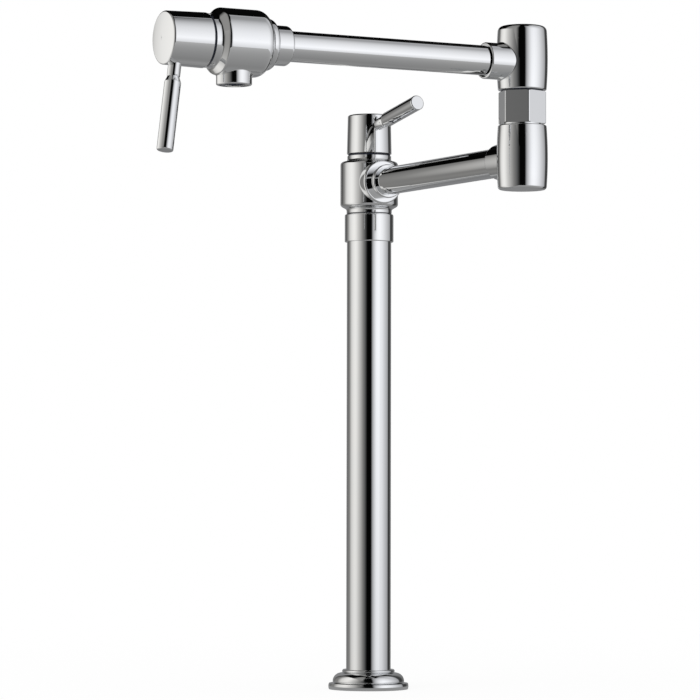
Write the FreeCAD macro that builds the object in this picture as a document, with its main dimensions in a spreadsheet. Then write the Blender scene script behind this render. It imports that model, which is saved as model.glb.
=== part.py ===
import FreeCAD, Part
import math
import os
import types
import Sketcher

# A deck-mounted pot filler: a post on a round base, a valve head that swings on the post,
# two arms joined by an upright swivel elbow, and a spout head with its own shut-off.
# Millimetres and degrees. The origin is on the deck under the post, +Z is up. At rest the
# lower arm lies along +X and the upper arm along -Y, a right angle apart.

DRIVING_SIZES = {
    # Base cover and foot, from the deck up
    "plate_diameter": 68.4,
    "plate_thickness": 5.1,
    "plate_swell": 0.5,
    "dome_diameter": 61.0,
    "dome_round": 7.1,
    "dome_tuck": 1.6,
    "dome_top": 13.8,
    "bead_diameter": 45.8,
    "bead_thickness": 3.0,
    "bead_arc": 1.6,
    "cavity_radius": 26.6,
    "cavity_height": 9.0,
    "gasket_inner": 28.5,
    "gasket_outer": 32.5,
    "gasket_thickness": 2.0,
    "foot_radius": 26.0,
    "foot_thickness": 5.5,
    "foot_top": 32.0,
    "supply_radius": 10.48,
    "supply_depth": 18.0,
    # Post, riser pipe and collar
    "post_diameter": 38.0,
    "post_wall": 1.5,
    "post_top": 398.0,
    "water_radius": 6.5,
    "riser_radius": 7.5,
    "riser_bottom": 24.0,
    "riser_top": 377.0,
    "riser_seal_radius": 1.1,
    "seal_pocket_radius": 10.0,
    "seal_pocket_depth": 3.0,
    "collar_diameter": 41.8,
    "collar_bottom": 382.0,
    "collar_top": 406.0,
    "collar_edge_round": 0.8,
    "collar_top_round": 1.5,
    # Swivel between post and valve head
    "spigot_bottom": 372.0,
    "spigot_neck_radius": 15.0,
    "spigot_top": 421.4,
    "journal_radius": 13.94,
    "journal_bore": 14.0,
    "journal_seal_low": 409.6,
    "journal_seal_high": 414.4,
    "seal_groove_width": 2.4,
    "journal_groove_radius": 11.95,
    "journal_seal_radius": 0.95,
    "clip_low": 419.0,
    "clip_thickness": 1.2,
    "clip_groove_radius": 12.6,
    "clip_outer": 15.6,
    "clip_sweep": 320.0,
    "clip_recess_radius": 16.2,
    "clip_recess_low": 13.5,
    "swivel_washer_inner": 15.3,
    "swivel_washer_outer": 18.8,
    "swivel_washer_thickness": 0.6,
    # Arms
    "arm_length": 254.0,
    "lower_arm_height": 432.0,
    "upper_arm_height": 508.0,
    "arm_radius": 11.75,
    "arm_bore": 10.4,
    "slip": 0.05,
    "sleeve_radius": 14.4,
    "sleeve_edge_round": 1.2,
    # Valve head and spout head, measured along their own axis from the port's axis
    "valve_body_radius": 24.7,
    "spout_body_radius": 25.6,
    "body_half": 19.0,
    "shoulder_round": 2.8,
    "shoulder_cove": 2.4,
    "shoulder_slope": 3.0,
    "spout_cone": 4.4,
    "spout_cone_round": 3.5,
    "lower_neck_radius": 19.35,
    "lower_neck_end": 25.3,
    "valve_neck_radius": 18.8,
    "spout_neck_radius": 20.5,
    "upper_neck_end": 23.8,
    "seat_low": 10.3,
    "seat_high": 7.5,
    "seat_hole": 7.5,
    "chamber_radius": 15.5,
    "chamber_top": 12.0,
    "bonnet_bore": 17.0,
    "port_radius": 8.0,
    "port_start": 10.0,
    "port_shoulder": 20.0,
    "port_boss_radius": 18.5,
    "port_boss_end": 25.8,
    "port_boss_round": 1.6,
    "port_sleeve_end": 34.5,
    "outlet_radius": 13.6,
    "outlet_drop": 32.5,
    "outlet_shoulder": 22.0,
    "outlet_recess": 11.5,
    "outlet_edge_round": 1.0,
    "root_fillet": 1.2,
    # Shut-off cartridge, the same in both heads
    "cartridge_radius": 15.3,
    "cartridge_low": 6.5,
    "cartridge_flange": 16.8,
    "cartridge_flange_top": 15.0,
    "cartridge_neck": 9.2,
    "cartridge_seal_inner": 8.6,
    "cartridge_seal_outer": 12.0,
    "cartridge_mouth": 8.5,
    "disc_chamber": 12.5,
    "disc_chamber_low": 4.5,
    "disc_chamber_top": 5.5,
    "window_radius": 4.0,
    "window_start": 12.0,
    "window_end": 16.0,
    "fixed_disc_radius": 12.3,
    "fixed_disc_top": 1.5,
    "turning_disc_radius": 12.2,
    "turning_disc_low": 1.45,
    "turning_disc_top": 1.6,
    "disc_hole": 2.6,
    "disc_hole_offset": 6.5,
    "spindle_foot_radius": 11.9,
    "spindle_foot_top": 4.6,
    "spindle_radius": 5.02,
    "spindle_bore": 5.1,
    "spindle_tail_radius": 4.0,
    "spindle_top": 46.0,
    "spindle_seal_radius": 1.08,
    "spindle_seal_pocket": 7.5,
    "spindle_seal_floor": 20.0,
    "bonnet_radius": 16.9,
    "bonnet_inner": 9.6,
    "bonnet_top": 23.5,
    "bonnet_slot_width": 3.0,
    "bonnet_slot_depth": 2.5,
    "glide_inner": 17.3,
    "valve_glide_outer": 18.0,
    "spout_glide_outer": 19.6,
    "glide_top": 25.4,
    # Handles
    "cap_low": 25.7,
    "cap_top": 60.2,
    "valve_cap_radius": 19.15,
    "spout_cap_radius": 21.0,
    "cap_taper": 0.75,
    "cap_dome": 1.3,
    "cap_cavity_radius": 17.5,
    "cap_hub_low": 36.0,
    "cap_top_round": 1.6,
    "cap_low_round": 0.5,
    # A lever is measured outwards from its seat in the cap
    "lever_height": 47.0,
    "lever_tilt": 10.0,
    "spout_lever_turn": 7.0,
    "lever_seat_depth": 3.8,
    "lever_stud": 8.5,
    "lever_stud_radius": 3.5,
    "lever_neck_radius": 5.0,
    "lever_neck": 12.2,
    "lever_waist_radius": 4.6,
    "lever_waist": 13.2,
    "lever_grip_radius": 6.3,
    "lever_grip_start": 17.4,
    "lever_grip_round": 2.0,
    "lever_length": 70.7,
    "lever_end_round": 1.1,
    "lever_hole": 7.5,
    # Elbow: two barrels, a hexagon nut and a hollow stem
    "barrel_end_radius": 19.2,
    "barrel_crown": 330.0,
    "barrel_edge_round": 1.2,
    "barrel_foot_round": 2.4,
    "barrel_top_round": 4.2,
    "lower_barrel_low": 24.6,
    "lower_barrel_top": 26.5,
    "upper_barrel_low": 21.8,
    "upper_barrel_top": 29.2,
    "socket_end": 35.0,
    "socket_edge_round": 1.0,
    "socket_mouth": 1.3,
    "socket_mouth_depth": 2.5,
    "socket_shoulder": 14.0,
    "socket_water": 9.0,
    "elbow_water": 8.0,
    "elbow_water_end": 12.0,
    "stem_bore_low": 4.0,
    "stem_bore": 11.0,
    "union_thread_low": 15.0,
    "union_thread_radius": 15.0,
    "hex_across_flats": 33.8,
    "hex_turn": -15.0,
    "hex_low": 27.6,
    "hex_top": 53.1,
    "hex_corner_cut": 1.2,
    "hex_corner_round": 1.4,
    "union_bore": 12.4,
    "union_lip_low": 44.0,
    "union_lip": 10.1,
    "stem_low": 4.5,
    "stem_nose_radius": 10.93,
    "stem_flange_low": 30.0,
    "stem_flange_radius": 12.33,
    "stem_flange_top": 43.3,
    "stem_shaft_radius": 10.03,
    "stem_thread_radius": 9.5,
    "stem_thread_top": 66.0,
    "stem_water": 7.0,
    "stem_seal_low": 7.8,
    "stem_seal_high": 12.2,
    "stem_groove_radius": 9.0,
    "stem_seal_radius": 0.92,
    "thrust_washer_inner": 10.1,
    "thrust_washer_outer": 12.3,
    "thrust_washer_thickness": 0.6,
    "gap_ring_inner": 10.6,
    "gap_ring_outer": 16.8,
    "gap_ring_thickness": 0.95,
    # Spout body's long shoulder, and the sleeve between upper arm and spout head
    "spout_shoulder_start": 16.6,
    "spout_shoulder_radius": 8.5,
    "spout_shoulder_sweep": 66.0,
    "spout_sleeve_radius": 15.3,
    "spout_sleeve_end": 45.0,
    "spout_sleeve_round": 2.6,
    "spout_flange_radius": 19.8,
    "spout_flange_end": 31.0,
    "spout_flange_round": 4.0,
    "spout_tube_end": 27.0,
    "spout_spigot_radius": 13.95,
    "spout_spigot_end": 14.0,
    # Aerator, measured up from the outlet's lip
    "aerator_low": 1.2,
    "aerator_top": 9.0,
    "aerator_radius": 11.45,
    "aerator_bore": 9.6,
    "aerator_lip": 8.6,
    "aerator_lip_top": 2.4,
    "aerator_core_radius": 9.55,
    "aerator_core_top": 8.4,
    "aerator_hole": 1.15,
    "aerator_inner_ring": 3.4,
    "aerator_outer_ring": 6.8,
    "aerator_seal_inner": 7.6,
    "aerator_seal_outer": 11.2,
}
INNER_HOLES = 6
OUTER_HOLES = 12
DISC_HOLES = 2
BONNET_SLOTS = 4
HEX_SIDES = 6
FULL_TURN = 360
ON_EDGE = 1e-4
ROOT_SAMPLES = 9


class Size:
    """A measure: its value now, and the sheet expression that keeps it up to date."""

    def __init__(self, value, text):
        self.value = value
        self.text = text

    def __add__(self, other):
        other = as_size(other)
        return Size(self.value + other.value, f"({self.text} + {other.text})")

    def __sub__(self, other):
        other = as_size(other)
        return Size(self.value - other.value, f"({self.text} - {other.text})")

    def __mul__(self, other):
        other = as_size(other)
        return Size(self.value * other.value, f"({self.text} * {other.text})")

    def __truediv__(self, other):
        other = as_size(other)
        return Size(self.value / other.value, f"({self.text} / {other.text})")

    def __rsub__(self, other):
        return as_size(other) - self

    def __neg__(self):
        return as_size(0) - self


def as_size(number):
    return number if isinstance(number, Size) else Size(float(number), str(number))


def cosine(angle):
    return Size(math.cos(math.radians(angle.value)), f"cos({angle.text} * 1 deg)")


def sine(angle):
    return Size(math.sin(math.radians(angle.value)), f"sin({angle.text} * 1 deg)")


# The document and its sheet of driving sizes
doc = FreeCAD.newDocument("pot_filler")
sheet = doc.addObject("Spreadsheet::Sheet", "Sizes")
for row, (alias, value) in enumerate(DRIVING_SIZES.items(), start=1):
    sheet.set(f"A{row}", alias)
    sheet.set(f"B{row}", str(value))
    sheet.setAlias(f"B{row}", alias)
doc.recompute()
d = types.SimpleNamespace()
for alias, value in DRIVING_SIZES.items():
    setattr(d, alias, Size(value, f"Sizes.{alias}"))

sub_parts = []


def lifted(height):
    """A shift along the piece's own Z, as a placement expression."""
    return f"placement(vector(0; 0; {height.text}); rotation(0; 0; 0))"


def frame(across, deep, height, yaw=0, pitch=0):
    """Where a piece's own axes stand: an origin and its turns, as one placement expression."""
    origin = "; ".join(as_size(part).text for part in (across, deep, height))
    turns = f"{as_size(yaw).text}; {as_size(pitch).text}; 0"
    return f"placement(vector({origin}); rotation({turns}))"


# A piece on the post stands on the deck. A head's own +Z points at its handle and its own +X
# along its port. An arm's own +Z runs outwards along it, and an elbow's own +X into its arm.
# The spout's handle rests a few degrees open. A lever stands in its own handle.
DECK = frame(0, 0, 0)
VALVE = frame(0, 0, d.lower_arm_height)
LOWER_ARM = frame(0, 0, d.lower_arm_height, 0, 90)
LOWER_ELBOW = frame(d.arm_length, 0, d.lower_arm_height, 180)
UPPER_ELBOW = frame(d.arm_length, 0, d.upper_arm_height, -90)
UPPER_ARM = frame(d.arm_length, 0, d.upper_arm_height, -90, 90)
SPOUT = frame(d.arm_length, -d.arm_length, d.upper_arm_height, -90, 90)
OUTLET = frame(d.arm_length, -d.arm_length, d.upper_arm_height - d.outlet_drop)
SPOUT_HANDLE = f"{SPOUT} * {frame(0, 0, 0, d.spout_lever_turn)}"
LEVER = frame(0, 0, d.lever_height, 0, 90 - d.lever_tilt)


def new_body(label, place):
    body = doc.addObject("PartDesign::Body", label)
    body.Label = label
    body.setExpression("Placement", place)
    sub_parts.append(body)
    return body


def new_sketch(body, plane, offset=None):
    sketch = body.newObject("Sketcher::SketchObject", body.Label + "_sketch")
    origin_plane = [part for part in body.Origin.OriginFeatures if part.Role == plane]
    sketch.AttachmentSupport = [(origin_plane[0], "")]
    sketch.MapMode = "FlatFace"
    if offset:
        sketch.setExpression("AttachmentOffset", offset)
    return sketch


def pin_down(sketch, curve, point, spot):
    """Tie one point of a sketch to its two sizes, or to an axis of the sketch (-1 or -2) at nought."""
    for kind, line, size in (("DistanceX", -2, as_size(spot[0])), ("DistanceY", -1, as_size(spot[1]))):
        if size.value == 0:
            sketch.addConstraint(Sketcher.Constraint("PointOnObject", curve, point, line))
        else:
            index = sketch.addConstraint(Sketcher.Constraint(kind, -1, 1, curve, point, size.value))
            sketch.setExpression(f"Constraints[{index}]", size.text)


def arc_between(start, end, radius):
    """The arc that swells to the right of the way from start to end."""
    chord = end - start
    half = chord.Length / 2
    inward = FreeCAD.Vector(-chord.y, chord.x, 0).normalize()
    centre = (start + end) / 2 + inward * math.sqrt(radius ** 2 - half ** 2)
    angles = [math.atan2(point.y - centre.y, point.x - centre.x) for point in (start, end)]
    return Part.ArcOfCircle(Part.Circle(centre, FreeCAD.Vector(0, 0, 1), radius), *angles)


def draw_outline(sketch, outline):
    """A closed outline, walked anticlockwise. A third value makes the next side an arc of that radius."""
    spots = [FreeCAD.Vector(as_size(spot[0]).value, as_size(spot[1]).value, 0) for spot in outline]
    count = len(outline)
    for index, spot in enumerate(outline):
        start, end = spots[index], spots[(index + 1) % count]
        if len(spot) > 2:
            sketch.addGeometry(arc_between(start, end, spot[2].value), False)
        else:
            sketch.addGeometry(Part.LineSegment(start, end), False)
    for index in range(count):
        sketch.addConstraint(Sketcher.Constraint("Coincident", index, 2, (index + 1) % count, 1))
    for index, spot in enumerate(outline):
        pin_down(sketch, index, 1, spot)
        if len(spot) > 2:
            radius = sketch.addConstraint(Sketcher.Constraint("Radius", index, spot[2].value))
            sketch.setExpression(f"Constraints[{radius}]", spot[2].text)


def spin(body, outline, about="V_Axis", cut=False, offset=None, sweep=None):
    """Turn an outline about the piece's own Z (V_Axis) or X (H_Axis), adding or cutting metal."""
    sketch = new_sketch(body, "XZ_Plane", offset)
    draw_outline(sketch, outline)
    before = body.Shape.Volume if cut else 0
    kind = "PartDesign::Groove" if cut else "PartDesign::Revolution"
    feature = body.newObject(kind, body.Label + "_turned")
    feature.Profile = sketch
    feature.ReferenceAxis = (sketch, [about])
    feature.Angle = FULL_TURN
    if sweep:
        feature.setExpression("Angle", sweep.text)
    doc.recompute()
    if cut and not body.Shape.Volume < before:
        raise RuntimeError(f"a cut in {body.Label} removed nothing")
    return feature


def soften(body, size, spots):
    """Round the edges that pass through these points: (x, z) of the piece's own XZ plane, or (x, y, z)."""
    base = body.Tip
    names = []
    for spot in spots:
        x, *y, z = (as_size(part).value for part in spot)
        corner = Part.Vertex(x, *(y or [0]), z)
        for number, edge in enumerate(base.Shape.Edges, start=1):
            if edge.distToShape(corner)[0] < ON_EDGE:
                names.append(f"Edge{number}")
    fillet = body.newObject("PartDesign::Fillet", body.Label + "_edges")
    fillet.Base = (base, names)
    fillet.setExpression("Radius", size.text)
    doc.recompute()


def soften_root(body, radius):
    """Fill the corner where a boss of this radius, along the piece's own X, grows out of it."""
    base = body.Tip
    names = []
    for number, edge in enumerate(base.Shape.Edges, start=1):
        spots = edge.discretize(ROOT_SAMPLES)
        on_boss = all(abs(math.hypot(spot.y, spot.z) - radius.value) < ON_EDGE for spot in spots)
        along = max(spot.x for spot in spots) - min(spot.x for spot in spots)
        round_boss = max(spot.distanceToPoint(spots[0]) for spot in spots)
        if on_boss and ON_EDGE < along < round_boss - ON_EDGE:
            names.append(f"Edge{number}")
    fillet = body.newObject("PartDesign::Fillet", body.Label + "_root")
    fillet.Base = (base, names)
    fillet.setExpression("Radius", d.root_fillet.text)
    doc.recompute()


def turned(label, place, outline):
    body = new_body(label, place)
    spin(body, outline)
    return body


def ring(label, place, inner, outer, low, high, sweep=None):
    body = new_body(label, place)
    spin(body, [(inner, low), (outer, low), (outer, high), (inner, high)], sweep=sweep)
    return body


def bored_holes(body, height, depth, holes, copies):
    """Round holes down from a height: each (distance from the axis, radius), repeated round the axis."""
    for (distance, radius), count in zip(holes, copies):
        sketch = new_sketch(body, "XY_Plane", lifted(height))
        sketch.addGeometry(Part.Circle(FreeCAD.Vector(distance.value, 0, 0),
                                       FreeCAD.Vector(0, 0, 1), radius.value), False)
        pin_down(sketch, 0, 3, (distance, 0))
        index = sketch.addConstraint(Sketcher.Constraint("Radius", 0, radius.value))
        sketch.setExpression(f"Constraints[{index}]", radius.text)
        repeat_cut(body, sketch, depth, count)


def repeat_cut(body, sketch, depth, count):
    """Cut a sketch down into the piece and repeat the cut round its axis."""
    before = body.Shape.Volume
    pocket = body.newObject("PartDesign::Pocket", body.Label + "_cut")
    pocket.Profile = sketch
    pocket.setExpression("Length", depth.text)
    doc.recompute()
    if not body.Shape.Volume < before:
        raise RuntimeError(f"a pocket in {body.Label} removed nothing")
    pattern = body.newObject("PartDesign::PolarPattern", body.Label + "_pattern")
    pattern.Originals = [pocket]
    pattern.Axis = (sketch, ["N_Axis"])
    pattern.Angle = FULL_TURN
    pattern.Occurrences = count
    body.Tip = pattern
    doc.recompute()


def o_rings(label, place, centre, section, heights):
    """Rubber rings round the piece's own Z, as one node."""
    rings = []
    for height in heights:
        torus = doc.addObject("Part::Torus", label + "_ring")
        torus.setExpression("Radius1", centre.text)
        torus.setExpression("Radius2", section.text)
        torus.setExpression("Placement", f"{place} * {lifted(height)}")
        rings.append(torus)
    whole = rings[0]
    if len(rings) > 1:
        whole = doc.addObject("Part::Fuse", label)
        whole.Base, whole.Tool = rings
    whole.Label = label
    sub_parts.append(whole)
    doc.recompute()


# Base cover: a plate with a swelling rim, a round dome and a bead that grips the post
post_radius = d.post_diameter / 2
plate_rim = d.plate_diameter / 2 - d.plate_swell
half_plate = d.plate_thickness / 2
rim_arc = (half_plate * half_plate + d.plate_swell * d.plate_swell) / (d.plate_swell * 2)
bead_root = d.bead_diameter / 2 - d.bead_thickness / 2
bead_top = d.dome_top + d.bead_thickness
turned("base_flange", DECK, [
    (d.cavity_radius, 0),
    (d.gasket_inner, 0),
    (d.gasket_inner, d.gasket_thickness),
    (d.gasket_outer, d.gasket_thickness),
    (d.gasket_outer, 0),
    (plate_rim, 0, rim_arc),
    (plate_rim, d.plate_thickness),
    (d.dome_diameter / 2 - d.dome_tuck, d.plate_thickness, d.dome_tuck),
    (d.dome_diameter / 2, d.plate_thickness + d.dome_tuck, d.dome_round),
    (d.dome_diameter / 2 - d.dome_round, d.dome_top),
    (bead_root, d.dome_top, d.bead_arc),
    (bead_root, bead_top),
    (post_radius + d.slip, bead_top),
    (post_radius + d.slip, d.cavity_height),
    (d.cavity_radius, d.cavity_height),
])
ring("deck_gasket", DECK, d.gasket_inner, d.gasket_outer, 0, d.gasket_thickness)

# Foot: stands on the deck, takes the supply thread from below and the post and riser from above
post_bore = post_radius - d.post_wall
riser_hole = d.riser_radius + d.slip
foot_pocket_floor = d.foot_top - d.seal_pocket_depth
turned("post_foot", DECK, [
    (d.supply_radius, 0),
    (d.foot_radius, 0),
    (d.foot_radius, d.foot_thickness),
    (post_bore - d.slip, d.foot_thickness),
    (post_bore - d.slip, d.foot_top),
    (d.seal_pocket_radius, d.foot_top),
    (d.seal_pocket_radius, foot_pocket_floor),
    (riser_hole, foot_pocket_floor),
    (riser_hole, d.riser_bottom),
    (d.water_radius, d.riser_bottom),
    (d.water_radius, d.supply_depth),
    (d.supply_radius, d.supply_depth),
])
ring("post_tube", DECK, post_bore, post_radius, d.foot_thickness, d.post_top)
ring("riser_pipe", DECK, d.water_radius, d.riser_radius, d.riser_bottom, d.riser_top)

# Collar and swivel journal at the top of the post
collar_radius = d.collar_diameter / 2
post_collar = turned("post_collar", DECK, [
    (post_radius + d.slip, d.collar_bottom),
    (collar_radius, d.collar_bottom),
    (collar_radius, d.collar_top),
    (d.spigot_neck_radius + d.slip, d.collar_top),
    (d.spigot_neck_radius + d.slip, d.post_top),
    (post_radius + d.slip, d.post_top),
])
soften(post_collar, d.collar_edge_round, [(collar_radius, d.collar_bottom)])
soften(post_collar, d.collar_top_round, [(collar_radius, d.collar_top)])

spigot_pocket_roof = d.spigot_bottom + d.seal_pocket_depth
swivel_spigot = turned("swivel_spigot", DECK, [
    (d.seal_pocket_radius, d.spigot_bottom),
    (post_bore - d.slip, d.spigot_bottom),
    (post_bore - d.slip, d.post_top),
    (d.spigot_neck_radius, d.post_top),
    (d.spigot_neck_radius, d.collar_top),
    (d.journal_radius, d.collar_top),
    (d.journal_radius, d.spigot_top),
    (d.water_radius, d.spigot_top),
    (d.water_radius, d.riser_top),
    (riser_hole, d.riser_top),
    (riser_hole, spigot_pocket_roof),
    (d.seal_pocket_radius, spigot_pocket_roof),
])


def seal_grooves(body, journal, root, heights):
    """Square grooves for O-rings round a journal."""
    half = d.seal_groove_width / 2
    for height in heights:
        spin(body, [(root, height - half), (journal, height - half), (journal, height + half),
                    (root, height + half)], cut=True)


journal_seal_heights = [d.journal_seal_low, d.journal_seal_high]
seal_grooves(swivel_spigot, d.journal_radius, d.journal_groove_radius, journal_seal_heights)
clip_high = d.clip_low + d.clip_thickness
spin(swivel_spigot, [(d.clip_groove_radius, d.clip_low), (d.journal_radius, d.clip_low),
                     (d.journal_radius, clip_high), (d.clip_groove_radius, clip_high)], cut=True)

riser_seal_centre = riser_hole + d.riser_seal_radius
o_rings("riser_seals", DECK, riser_seal_centre, d.riser_seal_radius,
        [foot_pocket_floor + d.riser_seal_radius, spigot_pocket_roof - d.riser_seal_radius])
o_rings("swivel_seals", DECK, d.journal_groove_radius + d.journal_seal_radius, d.journal_seal_radius,
        journal_seal_heights)
ring("swivel_washer", DECK, d.swivel_washer_inner, d.swivel_washer_outer,
     d.collar_top, d.collar_top + d.swivel_washer_thickness)
ring("swivel_clip", DECK, d.clip_groove_radius, d.clip_outer, d.clip_low, clip_high, d.clip_sweep)


def head_body(label, place, lower_end, shoulders, boss_radius, boss_end):
    """The turned outside of a head above its lower end, with a round port boss along +X.

    Each shoulder is its outer edge, its inner edge and how round they are, the upper shoulder first.
    """
    edge, neck = shoulders[0][:2]
    body = turned(label, place, lower_end + [edge, neck, (neck[0], d.upper_neck_end), (0, d.upper_neck_end)])
    for outer, inner, outer_round, inner_cove in shoulders:
        soften(body, outer_round, [outer])
        soften(body, inner_cove, [inner])
    spin(body, [(0, 0), (boss_end, 0), (boss_end, boss_radius), (0, boss_radius)], about="H_Axis")
    return body


def head_bores(body, entry):
    """Bore a head along its axis: the given entry from below, the seat, the chamber and the nut's thread."""
    spin(body, entry + [
        (d.seat_hole, -d.seat_low),
        (d.seat_hole, -d.seat_high),
        (d.chamber_radius, -d.seat_high),
        (d.chamber_radius, d.chamber_top),
        (d.bonnet_bore, d.chamber_top),
        (d.bonnet_bore, d.upper_neck_end),
        (0, d.upper_neck_end),
    ], cut=True)


# Valve head: swings on the journal and carries the lower arm in its port
valve_edge = (d.valve_body_radius, -d.body_half)
valve_neck = (d.lower_neck_radius, -d.body_half - d.shoulder_slope)
valve_body = head_body("valve_body", VALVE, [
    (0, -d.lower_neck_end),
    (d.lower_neck_radius, -d.lower_neck_end),
    valve_neck,
    valve_edge,
], [
    ((d.valve_body_radius, d.body_half), (d.valve_neck_radius, d.body_half), d.shoulder_round, d.shoulder_cove),
    (valve_edge, valve_neck, d.shoulder_round, d.shoulder_cove),
], d.port_boss_radius, d.port_boss_end)
soften(valve_body, d.port_boss_round, [(d.port_boss_end, d.port_boss_radius)])
head_bores(valve_body, [
    (0, -d.lower_neck_end),
    (d.journal_bore, -d.lower_neck_end),
    (d.journal_bore, -d.clip_recess_low),
    (d.clip_recess_radius, -d.clip_recess_low),
    (d.clip_recess_radius, -d.seat_low),
])
arm_hole = d.arm_radius + d.slip
spin(valve_body, [
    (d.port_start, 0),
    (d.port_boss_end, 0),
    (d.port_boss_end, arm_hole),
    (d.port_shoulder, arm_hole),
    (d.port_shoulder, d.port_radius),
    (d.port_start, d.port_radius),
], about="H_Axis", cut=True)

# Spout head: a like body with a long round shoulder, screwed to a sleeve on the upper arm
shoulder_drop = d.spout_shoulder_radius * (1 - cosine(d.spout_shoulder_sweep))
shoulder_low = d.spout_shoulder_start + d.spout_shoulder_radius * sine(d.spout_shoulder_sweep)
spout_body = head_body("spout_body", SPOUT, [
    (0, -d.lower_neck_end),
    (d.lower_neck_radius, -d.lower_neck_end),
    (d.lower_neck_radius, -shoulder_low),
    (d.spout_body_radius - shoulder_drop, -shoulder_low, d.spout_shoulder_radius),
    (d.spout_body_radius, -d.spout_shoulder_start),
], [
    ((d.spout_body_radius, d.body_half - d.spout_cone), (d.spout_neck_radius, d.body_half),
     d.spout_cone_round, d.spout_cone_round),
], d.outlet_radius, d.outlet_drop)
soften(spout_body, d.outlet_edge_round, [(d.outlet_drop, d.outlet_radius)])
soften_root(spout_body, d.outlet_radius)
head_bores(spout_body, [
    (0, -d.lower_neck_end),
    (d.journal_bore, -d.lower_neck_end),
    (d.journal_bore, -d.seat_low),
])
spin(spout_body, [
    (d.port_start, 0),
    (d.outlet_drop, 0),
    (d.outlet_drop, d.outlet_recess),
    (d.outlet_shoulder, d.outlet_recess),
    (d.outlet_shoulder, d.port_radius),
    (d.port_start, d.port_radius),
], about="H_Axis", cut=True)


def shut_off(name, place, glide_outer):
    """The quarter-turn cartridge of one head and the parts round it."""
    cartridge = turned(name + "_cartridge", place, [
        (d.cartridge_mouth, -d.cartridge_low),
        (d.cartridge_radius, -d.cartridge_low),
        (d.cartridge_radius, d.chamber_top),
        (d.cartridge_flange, d.chamber_top),
        (d.cartridge_flange, d.cartridge_flange_top),
        (d.cartridge_neck, d.cartridge_flange_top),
        (d.cartridge_neck, d.upper_neck_end),
        (d.spindle_seal_pocket, d.upper_neck_end),
        (d.spindle_seal_pocket, d.spindle_seal_floor),
        (d.spindle_bore, d.spindle_seal_floor),
        (d.spindle_bore, d.disc_chamber_top),
        (d.disc_chamber, d.disc_chamber_top),
        (d.disc_chamber, -d.disc_chamber_low),
        (d.cartridge_mouth, -d.disc_chamber_low),
    ])
    spin(cartridge, [(d.window_start, 0), (d.window_end, 0), (d.window_end, d.window_radius),
                     (d.window_start, d.window_radius)], about="H_Axis", cut=True)
    ring(name + "_cartridge_seal", place, d.cartridge_seal_inner, d.cartridge_seal_outer,
         -d.seat_high, -d.cartridge_low)
    disc_hole = [(d.disc_hole_offset, d.disc_hole)]
    fixed_disc = ring(name + "_fixed_disc", place, 0, d.fixed_disc_radius,
                      -d.disc_chamber_low, -d.fixed_disc_top)
    bored_holes(fixed_disc, -d.fixed_disc_top, d.disc_chamber_low - d.fixed_disc_top, disc_hole, [DISC_HOLES])
    turning_disc = ring(name + "_turning_disc", place, 0, d.turning_disc_radius,
                        -d.turning_disc_low, d.turning_disc_top)
    bored_holes(turning_disc, d.turning_disc_top, d.turning_disc_low + d.turning_disc_top,
                disc_hole, [DISC_HOLES])
    turned(name + "_spindle", place, [
        (0, d.turning_disc_top),
        (d.spindle_foot_radius, d.turning_disc_top),
        (d.spindle_foot_radius, d.spindle_foot_top),
        (d.spindle_radius, d.spindle_foot_top),
        (d.spindle_radius, d.cap_hub_low),
        (d.spindle_tail_radius, d.cap_hub_low),
        (d.spindle_tail_radius, d.spindle_top),
        (0, d.spindle_top),
    ])
    o_rings(name + "_spindle_seal", place, (d.spindle_bore + d.spindle_seal_pocket) / 2,
            d.spindle_seal_radius, [d.spindle_seal_floor + d.spindle_seal_radius])
    bonnet_nut = ring(name + "_bonnet_nut", place, d.bonnet_inner, d.bonnet_radius,
                      d.cartridge_flange_top, d.bonnet_top)
    slot = new_sketch(bonnet_nut, "XY_Plane", lifted(d.bonnet_top))
    half_slot = d.bonnet_slot_width / 2
    draw_outline(slot, [(d.bonnet_inner - half_slot, -half_slot), (d.bonnet_radius + half_slot, -half_slot),
                        (d.bonnet_radius + half_slot, half_slot), (d.bonnet_inner - half_slot, half_slot)])
    repeat_cut(bonnet_nut, slot, d.bonnet_slot_depth, BONNET_SLOTS)
    ring(name + "_glide_ring", place, d.glide_inner, glide_outer, d.upper_neck_end, d.glide_top)


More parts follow.
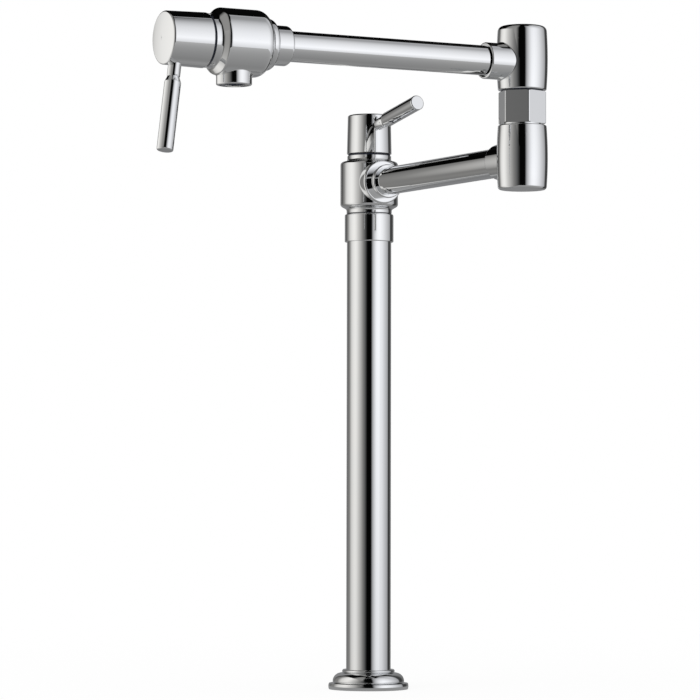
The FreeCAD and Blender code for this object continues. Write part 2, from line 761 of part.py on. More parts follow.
def handle(name, place, radius):
    """A cap with a domed end on the spindle, and the lever screwed into its side."""
    tail_hole = d.spindle_tail_radius + d.slip
    end_radius = radius - d.cap_taper
    rim = d.cap_top - d.cap_dome
    dome_radius = (end_radius * end_radius + d.cap_dome * d.cap_dome) / (d.cap_dome * 2)
    cap = turned(name + "_handle_cap", place, [
        (d.cap_cavity_radius, d.cap_low),
        (radius, d.cap_low),
        (end_radius, rim, dome_radius),
        (0, d.cap_top),
        (0, d.spindle_top + d.slip),
        (tail_hole, d.spindle_top + d.slip),
        (tail_hole, d.cap_hub_low),
        (d.cap_cavity_radius, d.cap_hub_low),
    ])
    soften(cap, d.cap_top_round, [(end_radius, rim)])
    soften(cap, d.cap_low_round, [(radius, d.cap_low)])
    seat = radius - d.lever_seat_depth
    stud_end = seat - d.lever_stud
    hole_end = seat + d.lever_hole
    lever_axis = f"placement(vector(0; {d.lever_height.text}; 0); rotation({d.lever_tilt.text}; 0; 0))"
    spin(cap, [
        (stud_end, 0),
        (hole_end, 0),
        (hole_end, d.lever_neck_radius + d.slip),
        (seat, d.lever_neck_radius + d.slip),
        (seat, d.lever_stud_radius + d.slip),
        (stud_end, d.lever_stud_radius + d.slip),
    ], about="H_Axis", cut=True, offset=lever_axis)
    lever = turned(name + "_lever", f"{place} * {LEVER}", [
        (0, stud_end),
        (d.lever_stud_radius, stud_end),
        (d.lever_stud_radius, seat),
        (d.lever_neck_radius, seat),
        (d.lever_neck_radius, seat + d.lever_neck),
        (d.lever_waist_radius, seat + d.lever_waist),
        (d.lever_grip_radius, seat + d.lever_grip_start),
        (d.lever_grip_radius, seat + d.lever_length),
        (0, seat + d.lever_length),
    ])
    soften(lever, d.lever_grip_round, [(d.lever_grip_radius, seat + d.lever_grip_start)])
    soften(lever, d.lever_end_round, [(d.lever_grip_radius, seat + d.lever_length)])


shut_off("valve", VALVE, d.valve_glide_outer)
handle("valve", VALVE, d.valve_cap_radius)
shut_off("spout", SPOUT, d.spout_glide_outer)
handle("spout", SPOUT_HANDLE, d.spout_cap_radius)

# Lower arm: a tube brazed between the valve's port and the elbow's socket
mouth_radius = arm_hole + d.socket_mouth
lower_arm_sleeve = turned("lower_arm_sleeve", LOWER_ARM, [
    (arm_hole, d.port_boss_end),
    (d.sleeve_radius, d.port_boss_end),
    (d.sleeve_radius, d.port_sleeve_end),
    (mouth_radius, d.port_sleeve_end),
    (mouth_radius, d.port_sleeve_end - d.socket_mouth_depth),
    (arm_hole, d.port_sleeve_end - d.socket_mouth_depth),
])
soften(lower_arm_sleeve, d.sleeve_edge_round, [(d.sleeve_radius, d.port_sleeve_end)])
ring("lower_arm_tube", LOWER_ARM, d.arm_bore, d.arm_radius, d.port_shoulder, d.arm_length - d.socket_shoulder)


def elbow_barrel(label, place, low, low_round, top, top_round, bore):
    """An upright crowned barrel with a socket for its arm along +X and a bore for the swivel."""
    body = turned(label, place, [
        (0, low),
        (d.barrel_end_radius, low, d.barrel_crown),
        (d.barrel_end_radius, top),
        (0, top),
    ])
    soften(body, low_round, [(d.barrel_end_radius, low)])
    soften(body, top_round, [(d.barrel_end_radius, top)])
    spin(body, [(0, 0), (d.socket_end, 0), (d.socket_end, d.sleeve_radius), (0, d.sleeve_radius)],
         about="H_Axis")
    soften(body, d.socket_edge_round, [(d.socket_end, d.sleeve_radius)])
    soften_root(body, d.sleeve_radius)
    spin(body, bore, cut=True)
    spin(body, [
        (0, 0),
        (d.socket_end, 0),
        (d.socket_end, mouth_radius),
        (d.socket_end - d.socket_mouth_depth, mouth_radius),
        (d.socket_end - d.socket_mouth_depth, arm_hole),
        (d.socket_shoulder, arm_hole),
        (d.socket_shoulder, d.socket_water),
        (0, d.socket_water),
    ], about="H_Axis", cut=True)


# Lower elbow barrel: bored from above for the stem's nose and the union nut's thread
elbow_barrel("lower_elbow", LOWER_ELBOW, -d.lower_barrel_low, d.barrel_foot_round,
             d.lower_barrel_top, d.barrel_edge_round, [
    (0, -d.elbow_water_end),
    (d.elbow_water, -d.elbow_water_end),
    (d.elbow_water, d.stem_bore_low),
    (d.stem_bore, d.stem_bore_low),
    (d.stem_bore, d.union_thread_low),
    (d.union_thread_radius, d.union_thread_low),
    (d.union_thread_radius, d.lower_barrel_top),
    (0, d.lower_barrel_top),
])

# Union nut: a hexagon with a threaded skirt below and a lip that holds the stem's flange down
hex_step = as_size(FULL_TURN / HEX_SIDES)
hex_corner = d.hex_across_flats / 2 / cosine(hex_step / 2)
hex_union_nut = new_body("hex_union_nut", LOWER_ELBOW)
skirt_radius = d.union_thread_radius - d.slip
spin(hex_union_nut, [(0, d.union_thread_low), (skirt_radius, d.union_thread_low), (skirt_radius, d.hex_low),
                     (0, d.hex_low)])
hexagon = new_sketch(hex_union_nut, "XY_Plane", lifted(d.hex_low))
corner_angles = [d.hex_turn + hex_step * corner for corner in range(HEX_SIDES)]
corners = [(hex_corner * cosine(angle), hex_corner * sine(angle)) for angle in corner_angles]
draw_outline(hexagon, corners)
hex_pad = hex_union_nut.newObject("PartDesign::Pad", "hex_union_nut_pad")
hex_pad.Profile = hexagon
hex_pad.setExpression("Length", (d.hex_top - d.hex_low).text)
doc.recompute()
soften(hex_union_nut, d.hex_corner_round, [(*corner, (d.hex_low + d.hex_top) / 2) for corner in corners])
corner_start = hex_corner - d.hex_corner_cut
corner_clear = hex_corner + d.hex_corner_cut
spin(hex_union_nut, [(corner_start, d.hex_low), (corner_clear, d.hex_low),
                     (corner_clear, d.hex_low + d.hex_corner_cut)], cut=True)
spin(hex_union_nut, [(corner_clear, d.hex_top - d.hex_corner_cut), (corner_clear, d.hex_top),
                     (corner_start, d.hex_top)], cut=True)
spin(hex_union_nut, [
    (0, d.union_thread_low),
    (d.union_bore, d.union_thread_low),
    (d.union_bore, d.union_lip_low),
    (d.union_lip, d.union_lip_low),
    (d.union_lip, d.hex_top),
    (0, d.hex_top),
], cut=True)

# Elbow stem: fixed in the upper barrel, its flange turns under the nut's lip
stem_shoulder = d.upper_arm_height - d.lower_arm_height - d.upper_barrel_low
elbow_stem = turned("elbow_stem", LOWER_ELBOW, [
    (d.stem_water, d.stem_low),
    (d.stem_nose_radius, d.stem_low),
    (d.stem_nose_radius, d.stem_flange_low),
    (d.stem_flange_radius, d.stem_flange_low),
    (d.stem_flange_radius, d.stem_flange_top),
    (d.stem_shaft_radius, d.stem_flange_top),
    (d.stem_shaft_radius, stem_shoulder),
    (d.stem_thread_radius, stem_shoulder),
    (d.stem_thread_radius, d.stem_thread_top),
    (d.stem_water, d.stem_thread_top),
])
stem_seal_heights = [d.stem_seal_low, d.stem_seal_high]
seal_grooves(elbow_stem, d.stem_nose_radius, d.stem_groove_radius, stem_seal_heights)
o_rings("elbow_seals", LOWER_ELBOW, d.stem_groove_radius + d.stem_seal_radius, d.stem_seal_radius,
        stem_seal_heights)
ring("elbow_thrust_washer", LOWER_ELBOW, d.thrust_washer_inner, d.thrust_washer_outer,
     d.stem_flange_top, d.stem_flange_top + d.thrust_washer_thickness)
ring("elbow_gap_ring", LOWER_ELBOW, d.gap_ring_inner, d.gap_ring_outer,
     stem_shoulder - d.gap_ring_thickness, stem_shoulder)

# Upper elbow barrel: bored from below for the stem's thread
stem_thread_bore = d.stem_thread_radius + d.slip
stem_thread_end = d.stem_thread_top - stem_shoulder - d.upper_barrel_low
elbow_barrel("upper_elbow", UPPER_ELBOW, -d.upper_barrel_low, d.barrel_edge_round,
             d.upper_barrel_top, d.barrel_top_round, [
    (0, -d.upper_barrel_low),
    (stem_thread_bore, -d.upper_barrel_low),
    (stem_thread_bore, stem_thread_end),
    (d.elbow_water, stem_thread_end),
    (d.elbow_water, d.elbow_water_end),
    (0, d.elbow_water_end),
])

# Upper arm: a tube from the elbow's socket to the flanged sleeve of the spout head
ring("upper_arm_tube", UPPER_ARM, d.arm_bore, d.arm_radius,
     d.socket_shoulder, d.arm_length - d.spout_tube_end)
spout_sleeve = turned("spout_sleeve", SPOUT, [
    (arm_hole, -d.spout_sleeve_end),
    (d.spout_sleeve_radius, -d.spout_sleeve_end),
    (d.spout_sleeve_radius, -d.spout_flange_end),
    (d.spout_flange_radius, -d.spout_flange_end),
    (d.spout_flange_radius, -d.lower_neck_end),
    (d.spout_spigot_radius, -d.lower_neck_end),
    (d.spout_spigot_radius, -d.spout_spigot_end),
    (d.socket_water, -d.spout_spigot_end),
    (d.socket_water, -d.spout_tube_end),
    (arm_hole, -d.spout_tube_end),
])
soften(spout_sleeve, d.spout_flange_round, [(d.spout_flange_radius, -d.spout_flange_end)])
soften(spout_sleeve, d.spout_sleeve_round, [(d.spout_sleeve_radius, -d.spout_sleeve_end)])

# Aerator: a screwed ring in the outlet, with a straightener above its lip and a washer behind
turned("aerator_housing", OUTLET, [
    (d.aerator_lip, d.aerator_low),
    (d.aerator_radius, d.aerator_low),
    (d.aerator_radius, d.aerator_top),
    (d.aerator_bore, d.aerator_top),
    (d.aerator_bore, d.aerator_lip_top),
    (d.aerator_lip, d.aerator_lip_top),
])
aerator_core = ring("aerator_core", OUTLET, 0, d.aerator_core_radius, d.aerator_lip_top, d.aerator_core_top)
bored_holes(aerator_core, d.aerator_core_top, d.aerator_core_top - d.aerator_lip_top,
            [(d.aerator_inner_ring, d.aerator_hole), (d.aerator_outer_ring, d.aerator_hole)],
            [INNER_HOLES, OUTER_HOLES])
ring("aerator_seal", OUTLET, d.aerator_seal_inner, d.aerator_seal_outer,
     d.aerator_top, d.outlet_drop - d.outlet_shoulder)

# Every object must be sound before anything is written
doc.recompute()
for thing in doc.Objects:
    if {"Invalid", "Error"} & set(thing.State):
        raise RuntimeError(f"{thing.Label} did not build: {thing.State}")
os.makedirs("parts", exist_ok=True)
for sub_part in sub_parts:
    shape = sub_part.Shape
    if shape.isNull() or not shape.isValid():
        raise RuntimeError(f"{sub_part.Label} has no sound solid")
for sub_part in sub_parts:
    sub_part.Shape.exportStep(f"parts/{sub_part.Label}.step")
    box = sub_part.Shape.BoundBox
    print(f"{sub_part.Label}: {len(sub_part.Shape.Solids)} solid, {sub_part.Shape.Volume:.0f} mm3, "
          f"z {box.ZMin:.1f} to {box.ZMax:.1f}")
print(len(sub_parts), "nodes")
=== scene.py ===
import math

import bpy
from mathutils import Matrix, Vector


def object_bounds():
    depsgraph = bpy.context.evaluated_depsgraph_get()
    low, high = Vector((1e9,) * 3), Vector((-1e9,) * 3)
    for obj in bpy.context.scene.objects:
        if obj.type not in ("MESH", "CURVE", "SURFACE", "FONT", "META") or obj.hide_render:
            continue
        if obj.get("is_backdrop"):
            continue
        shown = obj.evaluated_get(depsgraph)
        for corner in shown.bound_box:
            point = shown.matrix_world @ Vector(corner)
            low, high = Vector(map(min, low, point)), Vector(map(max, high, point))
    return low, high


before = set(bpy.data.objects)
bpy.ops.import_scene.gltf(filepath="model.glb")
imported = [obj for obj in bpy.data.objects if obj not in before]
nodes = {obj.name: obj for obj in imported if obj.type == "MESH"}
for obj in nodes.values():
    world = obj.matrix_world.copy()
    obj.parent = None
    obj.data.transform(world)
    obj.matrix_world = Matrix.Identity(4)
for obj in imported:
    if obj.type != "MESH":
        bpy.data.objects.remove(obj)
cad_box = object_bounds()


# Viewpoint: a long lens almost three metres from the post, low over the deck and tilted a
# little upwards, so that uprights stay upright and both arms open towards the viewer.
IMAGE_PIXELS = 700
FOCAL_PIXELS = 3308.6
SENSOR_MM = 36.0
VIEW_TURN = math.radians(61.866)
VIEW_DISTANCE = 2.8336
VIEW_SHIFT = -0.01622
VIEW_HEIGHT = 0.17428
TILT_UP = math.radians(2.328)
LEAN = math.radians(0.108)

upright = Vector((0, 0, 1))
to_right = Vector((math.cos(VIEW_TURN), math.sin(VIEW_TURN), 0))
away = Vector((-math.sin(VIEW_TURN), math.cos(VIEW_TURN), 0))
sight = away * math.cos(TILT_UP) + upright * math.sin(TILT_UP)
level = to_right * math.cos(LEAN) + to_right.cross(sight) * math.sin(LEAN)
stand = away * -VIEW_DISTANCE + to_right * VIEW_SHIFT + upright * VIEW_HEIGHT


def place(name, data):
    """Put something new into the scene."""
    thing = bpy.data.objects.new(name, data)
    bpy.context.scene.collection.objects.link(thing)
    return thing


camera = place("viewpoint", bpy.data.cameras.new("viewpoint"))
camera.data.sensor_width = SENSOR_MM
camera.data.lens = FOCAL_PIXELS / IMAGE_PIXELS * SENSOR_MM
facing = Matrix((level, level.cross(sight), -sight)).transposed().to_4x4()
camera.matrix_world = Matrix.Translation(stand) @ facing
bpy.context.scene.camera = camera
bpy.context.scene.view_settings.view_transform = "Standard"


# The booth: soft cards that only polished metal sees. A warm card stands close on the left, with a
# near end that goes on upward in grey, and a cool one far off on the right, with a dark gap at the
# viewer. The roof is unlit. The ground below the deck glows a grey that stands in for a lit floor,
# with painted shade: darkest at the post and lighter further out.
class Wire:
    """An output socket of a shader. Sums on it add Math nodes, and node() adds any other kind."""

    def __init__(self, tree, socket=None):
        self.tree = tree
        self.socket = socket

    def node(self, kind, settings=None, inputs=None, output=0):
        made = self.tree.nodes.new("ShaderNode" + kind)
        for name, value in (settings or {}).items():
            if name == "stops":
                for index, (position, colour) in enumerate(value):
                    stops = made.color_ramp.elements
                    stop = stops[index] if index < 2 else stops.new(position)
                    stop.position = position
                    stop.color = (*colour, 1)
            else:
                setattr(made, name, value)
        for name, value in (inputs or {}).items():
            if isinstance(value, Wire):
                self.tree.links.new(value.socket, made.inputs[name])
            else:
                made.inputs[name].default_value = value
        return Wire(self.tree, made.outputs[output]) if made.outputs else None

    def beside(self, output):
        """Another output of the same node."""
        return Wire(self.tree, self.socket.node.outputs[output])

    def maths(self, operation, first, second):
        return self.node("Math", {"operation": operation}, {0: first, 1: second})

    def blend(self, share, first, second):
        """From the first colour to the second."""
        inputs = {"Factor": share, 6: first, 7: second}
        return self.node("Mix", {"data_type": "RGBA"}, inputs, output=2)

    def held(self):
        """Kept between nought and one."""
        return self.node("Clamp", {}, {"Value": self})

    def grey(self):
        """A colour with this much red, green and blue."""
        return self.node("CombineColor", {}, {"Red": self, "Green": self, "Blue": self})

    def length(self):
        """How far a place is from the origin."""
        return self.node("VectorMath", {"operation": "LENGTH"}, {0: self}, output="Value")

    def __add__(self, other):
        return self.maths("ADD", self, other)

    def __sub__(self, other):
        return self.maths("SUBTRACT", self, other)

    def __rsub__(self, other):
        return self.maths("SUBTRACT", other, self)

    def __mul__(self, other):
        return self.maths("MULTIPLY", self, other)

    def __truediv__(self, other):
        return self.maths("DIVIDE", self, other)

    __radd__ = __add__
    __rmul__ = __mul__


def new_finish(name):
    finish = bpy.data.materials.new(name)
    finish.use_nodes = True
    finish.node_tree.nodes.clear()
    return finish, Wire(finish.node_tree)


def stage_piece(name, corners, faces, finish):
    """A plain flat-sided piece of the studio, given by its corners."""
    mesh = bpy.data.meshes.new(name)
    mesh.from_pydata(corners, [], faces)
    mesh.materials.append(finish)
    piece = place(name, mesh)
    piece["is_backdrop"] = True
    return piece


def for_metal_only(piece):
    """Seen in reflections and by nothing else."""
    for sense in ("visible_camera", "visible_diffuse", "visible_shadow", "visible_transmission"):
        setattr(piece, sense, False)


# How far each side stands from the post, and the heights of the ground and the roof, in metres
LEFT_SIDE = 0.60
RIGHT_SIDE = 2.20
FRONT_SIDE = 2.60
BACK_SIDE = 0.90
GROUND = -0.50
ROOF = 6.50
CARD_EDGE = 0.02
# The lower cards end at these heights, the right one by fading into the upper cards
LEFT_TOP = 0.79
BACK_TOP = 0.92
RIGHT_FROM = 0.60
RIGHT_TOP = 1.00
RIGHT_MERGE = 1.6
# All cards are brightest at one height, and the left one is dimmer behind the post
CARD_BRIGHTEST = 0.45
FALL_ABOVE = 0.118
FALL_BELOW = 0.30
BEHIND_FROM = 0.35
BEHIND_FULL = 0.60
BEHIND_LIFT = 0.35
BEHIND_FALL = 1.6
BEHIND_DIMMEST = 0.45
# The ground's grey is painted light: a glow that stands in for a lit floor in the metal, with painted shade
# darkest at the post
PAINTED_GROUND_NEAR = 0.22
PAINTED_SHADE_RISE = 0.08
WHITE = (1.0, 1.0, 1.0)
WARM = (1.0, 0.985, 0.955)
COOL = (0.966, 0.973, 1.0)
LEFT_STOPS = 10
# Round the post in degrees from the viewer, to the right, with each card's brightness
FRONT_CARDS = (
    (-110, 0.48, WARM), (-100, 0.74, WARM), (-86, 0.89, WARM), (-74, 0.95, WARM), (-64, 0.86, WARM),
    (-53, 0.65, WARM), (-41, 0.44, WARM), (-30, 0.235, WARM), (-20, 0.11, WHITE), (-14, 0.035, WHITE),
    (-9, 0.002, WHITE), (12, 0.002, WHITE), (18.5, 0.40, COOL), (24, 0.60, COOL), (31, 0.83, COOL),
    (40, 1.05, COOL), (50, 1.10, COOL), (62, 1.02, COOL), (74, 0.88, COOL), (88, 0.69, COOL),
)
LOW_CARDS = (
    (-180, 0.27, COOL), (-149, 0.26, WHITE), (-146, 0.15, WHITE), (-138, 0.15, WARM), (-128, 0.23, WARM),
    (-119, 0.235, WARM), *FRONT_CARDS,
    (104, 0.51, COOL), (114, 0.40, COOL), (119, 0.05, WHITE), (135, 0.05, WHITE), (152, 0.20, WHITE),
    (180, 0.27, COOL),
)
HIGH_CARDS = (
    (-180, 0.003, WHITE), (-75, 0.003, WARM), (-62, 0.30, WARM), (-24, 0.30, WARM),
    (-14, 0.003, WHITE), *FRONT_CARDS[LEFT_STOPS:],
    (104, 0.80, COOL), (125, 0.80, COOL), (126, 0.003, WHITE), (180, 0.003, WHITE),
)
BOX_FACES = [(0, 1, 3, 2), (4, 5, 7, 6), (0, 1, 5, 4), (2, 3, 7, 6), (0, 2, 6, 4), (1, 3, 7, 5)]


def card_stops(cards):
    for degrees, brightness, tint in cards:
        yield degrees / 360 + 0.5, tuple(brightness * part for part in tint)


wall_finish, wall = new_finish("soft_cards")
spot = wall.node("TexCoord", output="Object")
across = wall.node("SeparateXYZ", {}, {"Vector": spot})
nearer, height = across.beside("Y"), across.beside("Z")
way_round = wall.maths("ARCTAN2", across * -1, nearer) / math.tau + 0.5
low_cards = wall.node("ValToRGB", {"stops": card_stops(LOW_CARDS)}, {"Fac": way_round})
high_cards = wall.node("ValToRGB", {"stops": card_stops(HIGH_CARDS)}, {"Fac": way_round})
on_right = wall.maths("LESS_THAN", across, -RIGHT_FROM)
on_back = wall.maths("LESS_THAN", nearer, CARD_EDGE - BACK_SIDE)
left_top = LEFT_TOP + on_back * (BACK_TOP - LEFT_TOP)
left_share = ((height - left_top) / CARD_EDGE).held()
right_share = ((height - RIGHT_TOP) / RIGHT_MERGE).held()
upper = left_share + (right_share - left_share) * on_right
above = wall.maths("MAXIMUM", height - CARD_BRIGHTEST, 0) * FALL_ABOVE
below = wall.maths("MAXIMUM", CARD_BRIGHTEST - height, 0) * FALL_BELOW
behind = ((-BEHIND_FROM - nearer) / (BEHIND_FULL - BEHIND_FROM)).held() * (1 - on_right) * (1 - on_back)
dimmer = wall.maths("MAXIMUM", BEHIND_LIFT - height * BEHIND_FALL, BEHIND_DIMMEST - 1) * behind
under_roof = wall.maths("LESS_THAN", height, ROOF - CARD_EDGE)
strength = (1 - above - below) * (1 + dimmer) * under_roof
cards = wall.node("VectorMath", {"operation": "SCALE"},
                  {"Vector": wall.blend(upper, low_cards, high_cards), "Scale": strength})
flat_spot = wall.node("CombineXYZ", {}, {"X": across, "Y": nearer})
# Painted shade round the post: the ground glows darker close to it and lighter further out
painted_ground = (flat_spot.length() * PAINTED_SHADE_RISE + PAINTED_GROUND_NEAR).grey()
on_ground = wall.maths("LESS_THAN", height, GROUND + CARD_EDGE)
glow = wall.node("Emission", {}, {"Color": wall.blend(on_ground, cards, painted_ground)})
wall.node("OutputMaterial", {}, {"Surface": glow})
corners = [(x, y, z) for z in (GROUND, ROOF) for y in (-BACK_SIDE, FRONT_SIDE)
           for x in (-RIGHT_SIDE, LEFT_SIDE)]
booth = stage_piece("card_booth", corners, BOX_FACES, wall_finish)
booth.rotation_euler.z = VIEW_TURN + math.pi
for_metal_only(booth)


# A painted reflection of the deck: a small grey disc round the base that glows for the metal alone and
# thins out to its rim, darker further out. The base cover and the lower end of the post mirror it.
DECK_SOLID = 0.06
DECK_RADIUS = 0.30
DECK_DROP = 0.0004
DECK_PAINTED_GREY = 0.30
DECK_PAINTED_FALL = 0.30
DECK_STEPS = 96
deck_finish, deck = new_finish("painted_deck_reflection")
from_post = deck.node("TexCoord", output="Object").length()
# The disc's painted glow: a grey in place of a lit deck, darker further from the post
painted_deck_glow = deck.node("Emission", {}, {"Color": (DECK_PAINTED_GREY - from_post * DECK_PAINTED_FALL).grey()})
thinning = ((from_post - DECK_SOLID) / (DECK_RADIUS - DECK_SOLID)).held()
thinned = deck.node("MixShader", {}, {0: thinning, 1: painted_deck_glow, 2: deck.node("BsdfTransparent")})
deck.node("OutputMaterial", {}, {"Surface": thinned})
turns = [math.tau * step / DECK_STEPS for step in range(DECK_STEPS)]
rim = [(DECK_RADIUS * math.cos(turn), DECK_RADIUS * math.sin(turn), -DECK_DROP) for turn in turns]
for_metal_only(stage_piece("painted_deck_disc", rim, [range(DECK_STEPS)], deck_finish))


# The floor: one wide pale matt sheet under the tap, white to the eye.
# It keeps the tap's soft shadow close round the base.
FLOOR_HALF = 30.0
FLOOR_PALE = (0.93, 0.93, 0.93, 1)
FLOOR_ROUGHNESS = 0.9
PURE_WHITE = (1, 1, 1, 1)
EYE_WHITE = 0.88
SHADOW_REACH = 1.2
floor_finish, sheet = new_finish("pale_floor")
eye = sheet.node("LightPath", output="Is Camera Ray")
close_by = 1 - (sheet.node("TexCoord", output="Object").length() / SHADOW_REACH).held()
plain = 1 - close_by * close_by * (1 - EYE_WHITE)
matt = sheet.node("BsdfPrincipled", {}, {"Base Color": FLOOR_PALE, "Roughness": FLOOR_ROUGHNESS})
lit = sheet.node("Emission", {}, {"Color": PURE_WHITE})
both = sheet.node("MixShader", {}, {0: eye * plain, 1: matt, 2: lit})
sheet.node("OutputMaterial", {}, {"Surface": both})
corners = [(-FLOOR_HALF, -FLOOR_HALF, 0), (FLOOR_HALF, -FLOOR_HALF, 0),
           (FLOOR_HALF, FLOOR_HALF, 0), (-FLOOR_HALF, FLOOR_HALF, 0)]
floor = stage_piece("floor", corners, [(0, 1, 2, 3)], floor_finish)
floor.visible_glossy = False


# The light: even white from all round, and one large soft lamp from the upper left for shape.
# The background is plain white to the eye and in the metal.
SKY_LEVEL = 0.85
LAMP_SIZE = 1.2
LAMP_WATTS = 12.0
LAMP_SPOT = to_right * -1.0 + away * -1.2 + upright * 1.8
world = bpy.data.worlds.new("even_light")
world.use_nodes = True
world.node_tree.nodes.clear()
sky = Wire(world.node_tree)
ray = sky.node("LightPath", output="Is Camera Ray")
by_metal = sky.maths("MAXIMUM", ray.beside("Is Glossy Ray"), ray.beside("Is Transmission Ray"))
seen = sky.maths("MAXIMUM", ray, by_metal)
white = sky.node("Background", {}, {"Color": PURE_WHITE, "Strength": SKY_LEVEL + seen * (1 - SKY_LEVEL)})
sky.node("OutputWorld", {}, {"Surface": white})
bpy.context.scene.world = world

lamp = place("soft_lamp", bpy.data.lights.new("soft_lamp", "AREA"))
lamp.data.size = LAMP_SIZE
lamp.data.energy = LAMP_WATTS
lamp.location = LAMP_SPOT
lamp.rotation_euler = (-LAMP_SPOT).to_track_quat("-Z", "Y").to_euler()
lamp.visible_glossy = False


# Base cover: a stepped brass turning that hides the deck hole and grips the post with a bead.
# It is polished and plated with bright chrome, like every part of the tap that shows. The collar
# at the top of the post is made and finished the same way.
CHROME_COOL = (0.87, 0.885, 0.905, 1)
CHROME_WARM = (0.905, 0.905, 0.90, 1)
CHROME_SMOOTHEST = 0.012
HAZE_PER_METRE = 22.0
HAZE_DULLS = 0.018
LINES_DULL = 0.012
POLISH_DEPTH = 0.4e-6
# Polishing lines run one way: they are long along one axis and close together across it
LINES_ALONG = 30.0
LINES_ACROSS = 2600.0
ROUND_Z = (LINES_ALONG, LINES_ALONG, LINES_ACROSS)
ROUND_Y = (LINES_ALONG, LINES_ACROSS, LINES_ALONG)
ALONG_X = (LINES_ALONG, LINES_ACROSS, LINES_ACROSS)
ALONG_Y = (LINES_ACROSS, LINES_ALONG, LINES_ACROSS)
ALONG_Z = (LINES_ACROSS, LINES_ACROSS, LINES_ALONG)


def noise(spot, scale, detail):
    """Soft random mottling, with so many cells to the metre."""
    return spot.node("TexNoise", {}, {"Vector": spot, "Scale": scale, "Detail": detail})


def stretched_noise(spot, lay, detail):
    """The same drawn out into lines."""
    return noise(spot.node("Mapping", {}, {"Vector": spot, "Scale": lay}), 1.0, detail)


def bumped(height_map, shows, depth):
    return height_map.node("Bump", {}, {"Strength": shows, "Distance": depth, "Height": height_map})


def surfaced(start, **inputs):
    """End a finish: inputs of the surface shader, with _ for a space in their names."""
    named = {name.replace("_", " "): value for name, value in inputs.items()}
    start.node("OutputMaterial", {}, {"Surface": start.node("BsdfPrincipled", {}, named)})


def chrome(name, lay):
    """Bright chrome on polished brass: lay is the way the polishing ran."""
    finish, start = new_finish(name)
    spot = start.node("TexCoord", output="Object")
    haze = noise(spot, HAZE_PER_METRE, 2.0)
    lines = stretched_noise(spot, lay, 3.0)
    surfaced(start, Base_Color=start.blend(haze, CHROME_COOL, CHROME_WARM), Metallic=1.0,
             Roughness=CHROME_SMOOTHEST + haze * HAZE_DULLS + lines * LINES_DULL,
             Normal=bumped(lines, 1.0, POLISH_DEPTH))
    return finish


def dress(finish, *names):
    """Give CAD pieces their finish."""
    for name in names:
        nodes[name].data.materials.clear()
        nodes[name].data.materials.append(finish)


dress(chrome("base_chrome", ROUND_Z), "base_flange", "post_collar")


# Gasket and O-rings: moulded black rubber, matt with a fine grain. The gasket is pressed between
# the cover and the deck, the rings lie in grooves of the journals and round the riser's ends.
RUBBER_BLACK = (0.014, 0.014, 0.015, 1)
RUBBER_BLOOMED = (0.034, 0.034, 0.035, 1)
RUBBER_DULL = 0.55
BLOOM_PER_METRE = 90.0
BLOOM_DULLS = 0.25
PEBBLES_PER_METRE = 2400.0
PEBBLES_SHOW = 0.6
PEBBLE_DEPTH = 2e-5


def rubber(name):
    finish, start = new_finish(name)
    spot = start.node("TexCoord", output="Object")
    bloom = noise(spot, BLOOM_PER_METRE, 2.0)
    pebbles = noise(spot, PEBBLES_PER_METRE, 3.0)
    surfaced(start, Base_Color=start.blend(bloom, RUBBER_BLACK, RUBBER_BLOOMED),
             Roughness=RUBBER_DULL + bloom * BLOOM_DULLS, Normal=bumped(pebbles, PEBBLES_SHOW, PEBBLE_DEPTH))
    return finish


dress(rubber("seal_rubber"), "deck_gasket", "riser_seals", "swivel_seals", "elbow_seals",
      "valve_cartridge_seal", "spout_cartridge_seal", "valve_spindle_seal", "spout_spindle_seal",
      "aerator_seal")


# Foot, journal and cartridge parts: bare brass, turned on a lathe, so fine rings run round each
# piece's axis, a little dulled where the metal has been handled.
BRASS_BRIGHT = (0.83, 0.64, 0.31, 1)
BRASS_DULL = (0.66, 0.48, 0.21, 1)
BRASS_ROUGHNESS = 0.18
TARNISH_PER_METRE = 60.0
TOOL_DEPTH = 4e-6
TOOL_DULLS = 0.12


def bare_metal(name, bright, dulled, lay, roughness):
    finish, start = new_finish(name)
    spot = start.node("TexCoord", output="Object")
    tarnish = noise(spot, TARNISH_PER_METRE, 5.0)
    tool_marks = stretched_noise(spot, lay, 4.0)
    surfaced(start, Base_Color=start.blend(tarnish, bright, dulled), Metallic=1.0,
             Roughness=roughness + tool_marks * TOOL_DULLS, Normal=bumped(tool_marks, 1.0, TOOL_DEPTH))
    return finish


dress(bare_metal("turned_brass", BRASS_BRIGHT, BRASS_DULL, ROUND_Z, BRASS_ROUGHNESS),
      "post_foot", "swivel_spigot", "valve_cartridge", "valve_bonnet_nut", "valve_spindle", "elbow_stem")
dress(bare_metal("turned_brass_spout", BRASS_BRIGHT, BRASS_DULL, ROUND_Y, BRASS_ROUGHNESS),
      "spout_cartridge", "spout_bonnet_nut", "spout_spindle")


# Riser: a drawn copper pipe that carries the water up inside the post.
# It is bare, with lengthwise drawing lines and darker patches of tarnish.
COPPER_BRIGHT = (0.80, 0.44, 0.28, 1)
COPPER_DULL = (0.52, 0.26, 0.15, 1)
COPPER_ROUGHNESS = 0.24
dress(bare_metal("drawn_copper", COPPER_BRIGHT, COPPER_DULL, ALONG_Z, COPPER_ROUGHNESS), "riser_pipe")


# Post: one straight drawn brass tube, polished lengthwise and chrome plated.
# It stands on the foot and is held at the top by the collar.
dress(chrome("post_chrome", ALONG_Z), "post_tube")


# Retaining ring: stamped spring steel, snapped into the journal's top groove.
# It keeps the valve head from lifting off the post.
STEEL_BRIGHT = (0.42, 0.43, 0.46, 1)
STEEL_DULL = (0.24, 0.25, 0.27, 1)
STEEL_ROUGHNESS = 0.30
dress(bare_metal("spring_steel", STEEL_BRIGHT, STEEL_DULL, ROUND_Z, STEEL_ROUGHNESS), "swivel_clip")


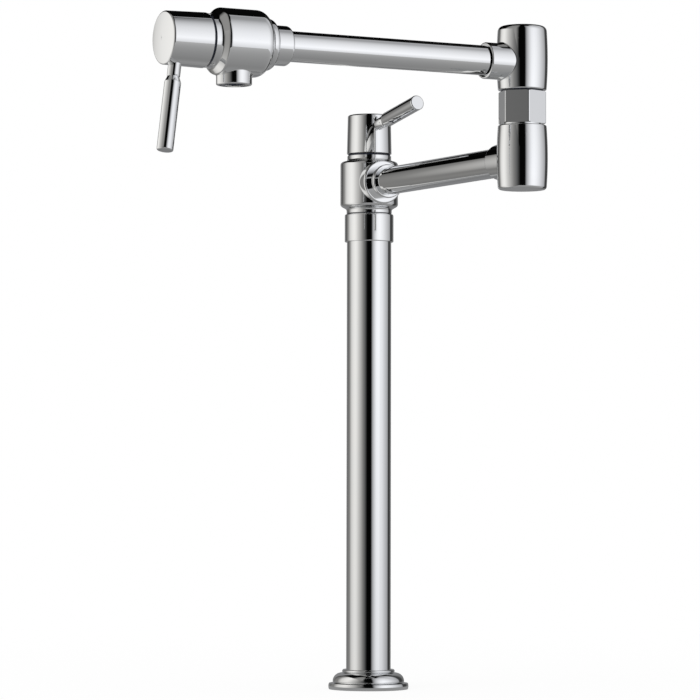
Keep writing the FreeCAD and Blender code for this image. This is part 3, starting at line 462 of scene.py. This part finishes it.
# Bearing and trim rings: injection moulded plastic, nearly black with a blue cast, satin, and pale
# where they don't show. The black ones fill the dark lines at the swivels and under both handles,
# the pale ones take the elbow's thrust and straighten the flow in the outlet.
BLACK_TRIM = (0.006, 0.009, 0.020, 1)
BLACK_TRIM_LIGHT = (0.012, 0.016, 0.032, 1)
BLACK_TRIM_ROUGHNESS = 0.28
PALE_TRIM = (0.80, 0.80, 0.77, 1)
PALE_TRIM_DARK = (0.72, 0.72, 0.69, 1)
PALE_TRIM_ROUGHNESS = 0.35
MOTTLE_PER_METRE = 140.0
MOTTLE_DULLS = 0.12
SPARKS_PER_METRE = 5200.0
SPARKS_SHOW = 0.5
SPARK_DEPTH = 8e-6


def moulded(name, colour, other, roughness):
    finish, start = new_finish(name)
    spot = start.node("TexCoord", output="Object")
    mottle = noise(spot, MOTTLE_PER_METRE, 3.0)
    sparks = noise(spot, SPARKS_PER_METRE, 2.0)
    surfaced(start, Base_Color=start.blend(mottle, colour, other),
             Roughness=roughness + mottle * MOTTLE_DULLS, Normal=bumped(sparks, SPARKS_SHOW, SPARK_DEPTH))
    return finish


dress(moulded("black_trim", BLACK_TRIM, BLACK_TRIM_LIGHT, BLACK_TRIM_ROUGHNESS),
      "valve_glide_ring", "spout_glide_ring", "elbow_gap_ring", "swivel_washer", "aerator_housing")
dress(moulded("pale_moulding", PALE_TRIM, PALE_TRIM_DARK, PALE_TRIM_ROUGHNESS),
      "elbow_thrust_washer", "aerator_core")


# Shut-off discs: two lapped ceramic discs in each head, flat enough to seal on each other.
# One is held in the cartridge, the other turns with the spindle.
CERAMIC = (0.90, 0.89, 0.86, 1)
CERAMIC_DARK = (0.85, 0.84, 0.80, 1)
CERAMIC_ROUGHNESS = 0.08
dress(moulded("lapped_ceramic", CERAMIC, CERAMIC_DARK, CERAMIC_ROUGHNESS),
      "valve_fixed_disc", "valve_turning_disc", "spout_fixed_disc", "spout_turning_disc")


# Valve head: a turned brass body with a round boss for the lower arm, polished and plated.
# It swings on the journal in the post's top.
dress(chrome("valve_chrome", ROUND_Z), "valve_body")


# Arms: two drawn brass tubes, each brazed into its sockets, polished lengthwise and plated.
# A short sleeve dresses the joint between each arm and its head.
dress(chrome("lower_arm_chrome", ALONG_X), "lower_arm_tube", "lower_arm_sleeve")
dress(chrome("upper_arm_chrome", ALONG_Y), "upper_arm_tube", "spout_sleeve")


# Elbow: two hollow barrels cast in brass, and the six-sided union nut between them.
# They are turned, polished and plated, and the upper barrel swivels on the nut.
dress(chrome("elbow_chrome", ROUND_Z), "lower_elbow", "upper_elbow", "hex_union_nut")


# Spout head: the same kind of turned body, lying on its side at the end of the upper arm.
# Its outlet points down and holds the aerator.
dress(chrome("spout_chrome", ROUND_Y), "spout_body")


# Handles: a turned cap on each spindle with a slim lever screwed into its side.
# Both are polished on the lathe and plated.
dress(chrome("valve_handle_chrome", ROUND_Z), "valve_handle_cap")
dress(chrome("valve_lever_chrome", ALONG_X), "valve_lever")
dress(chrome("spout_handle_chrome", ROUND_Y), "spout_handle_cap")
dress(chrome("spout_lever_chrome", ALONG_Z), "spout_lever")


# The object's box as packed and as dressed, in metres
boxes = {"cad": cad_box, "visual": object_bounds()}
{name: [list(corner) for corner in box] for name, box in boxes.items()}
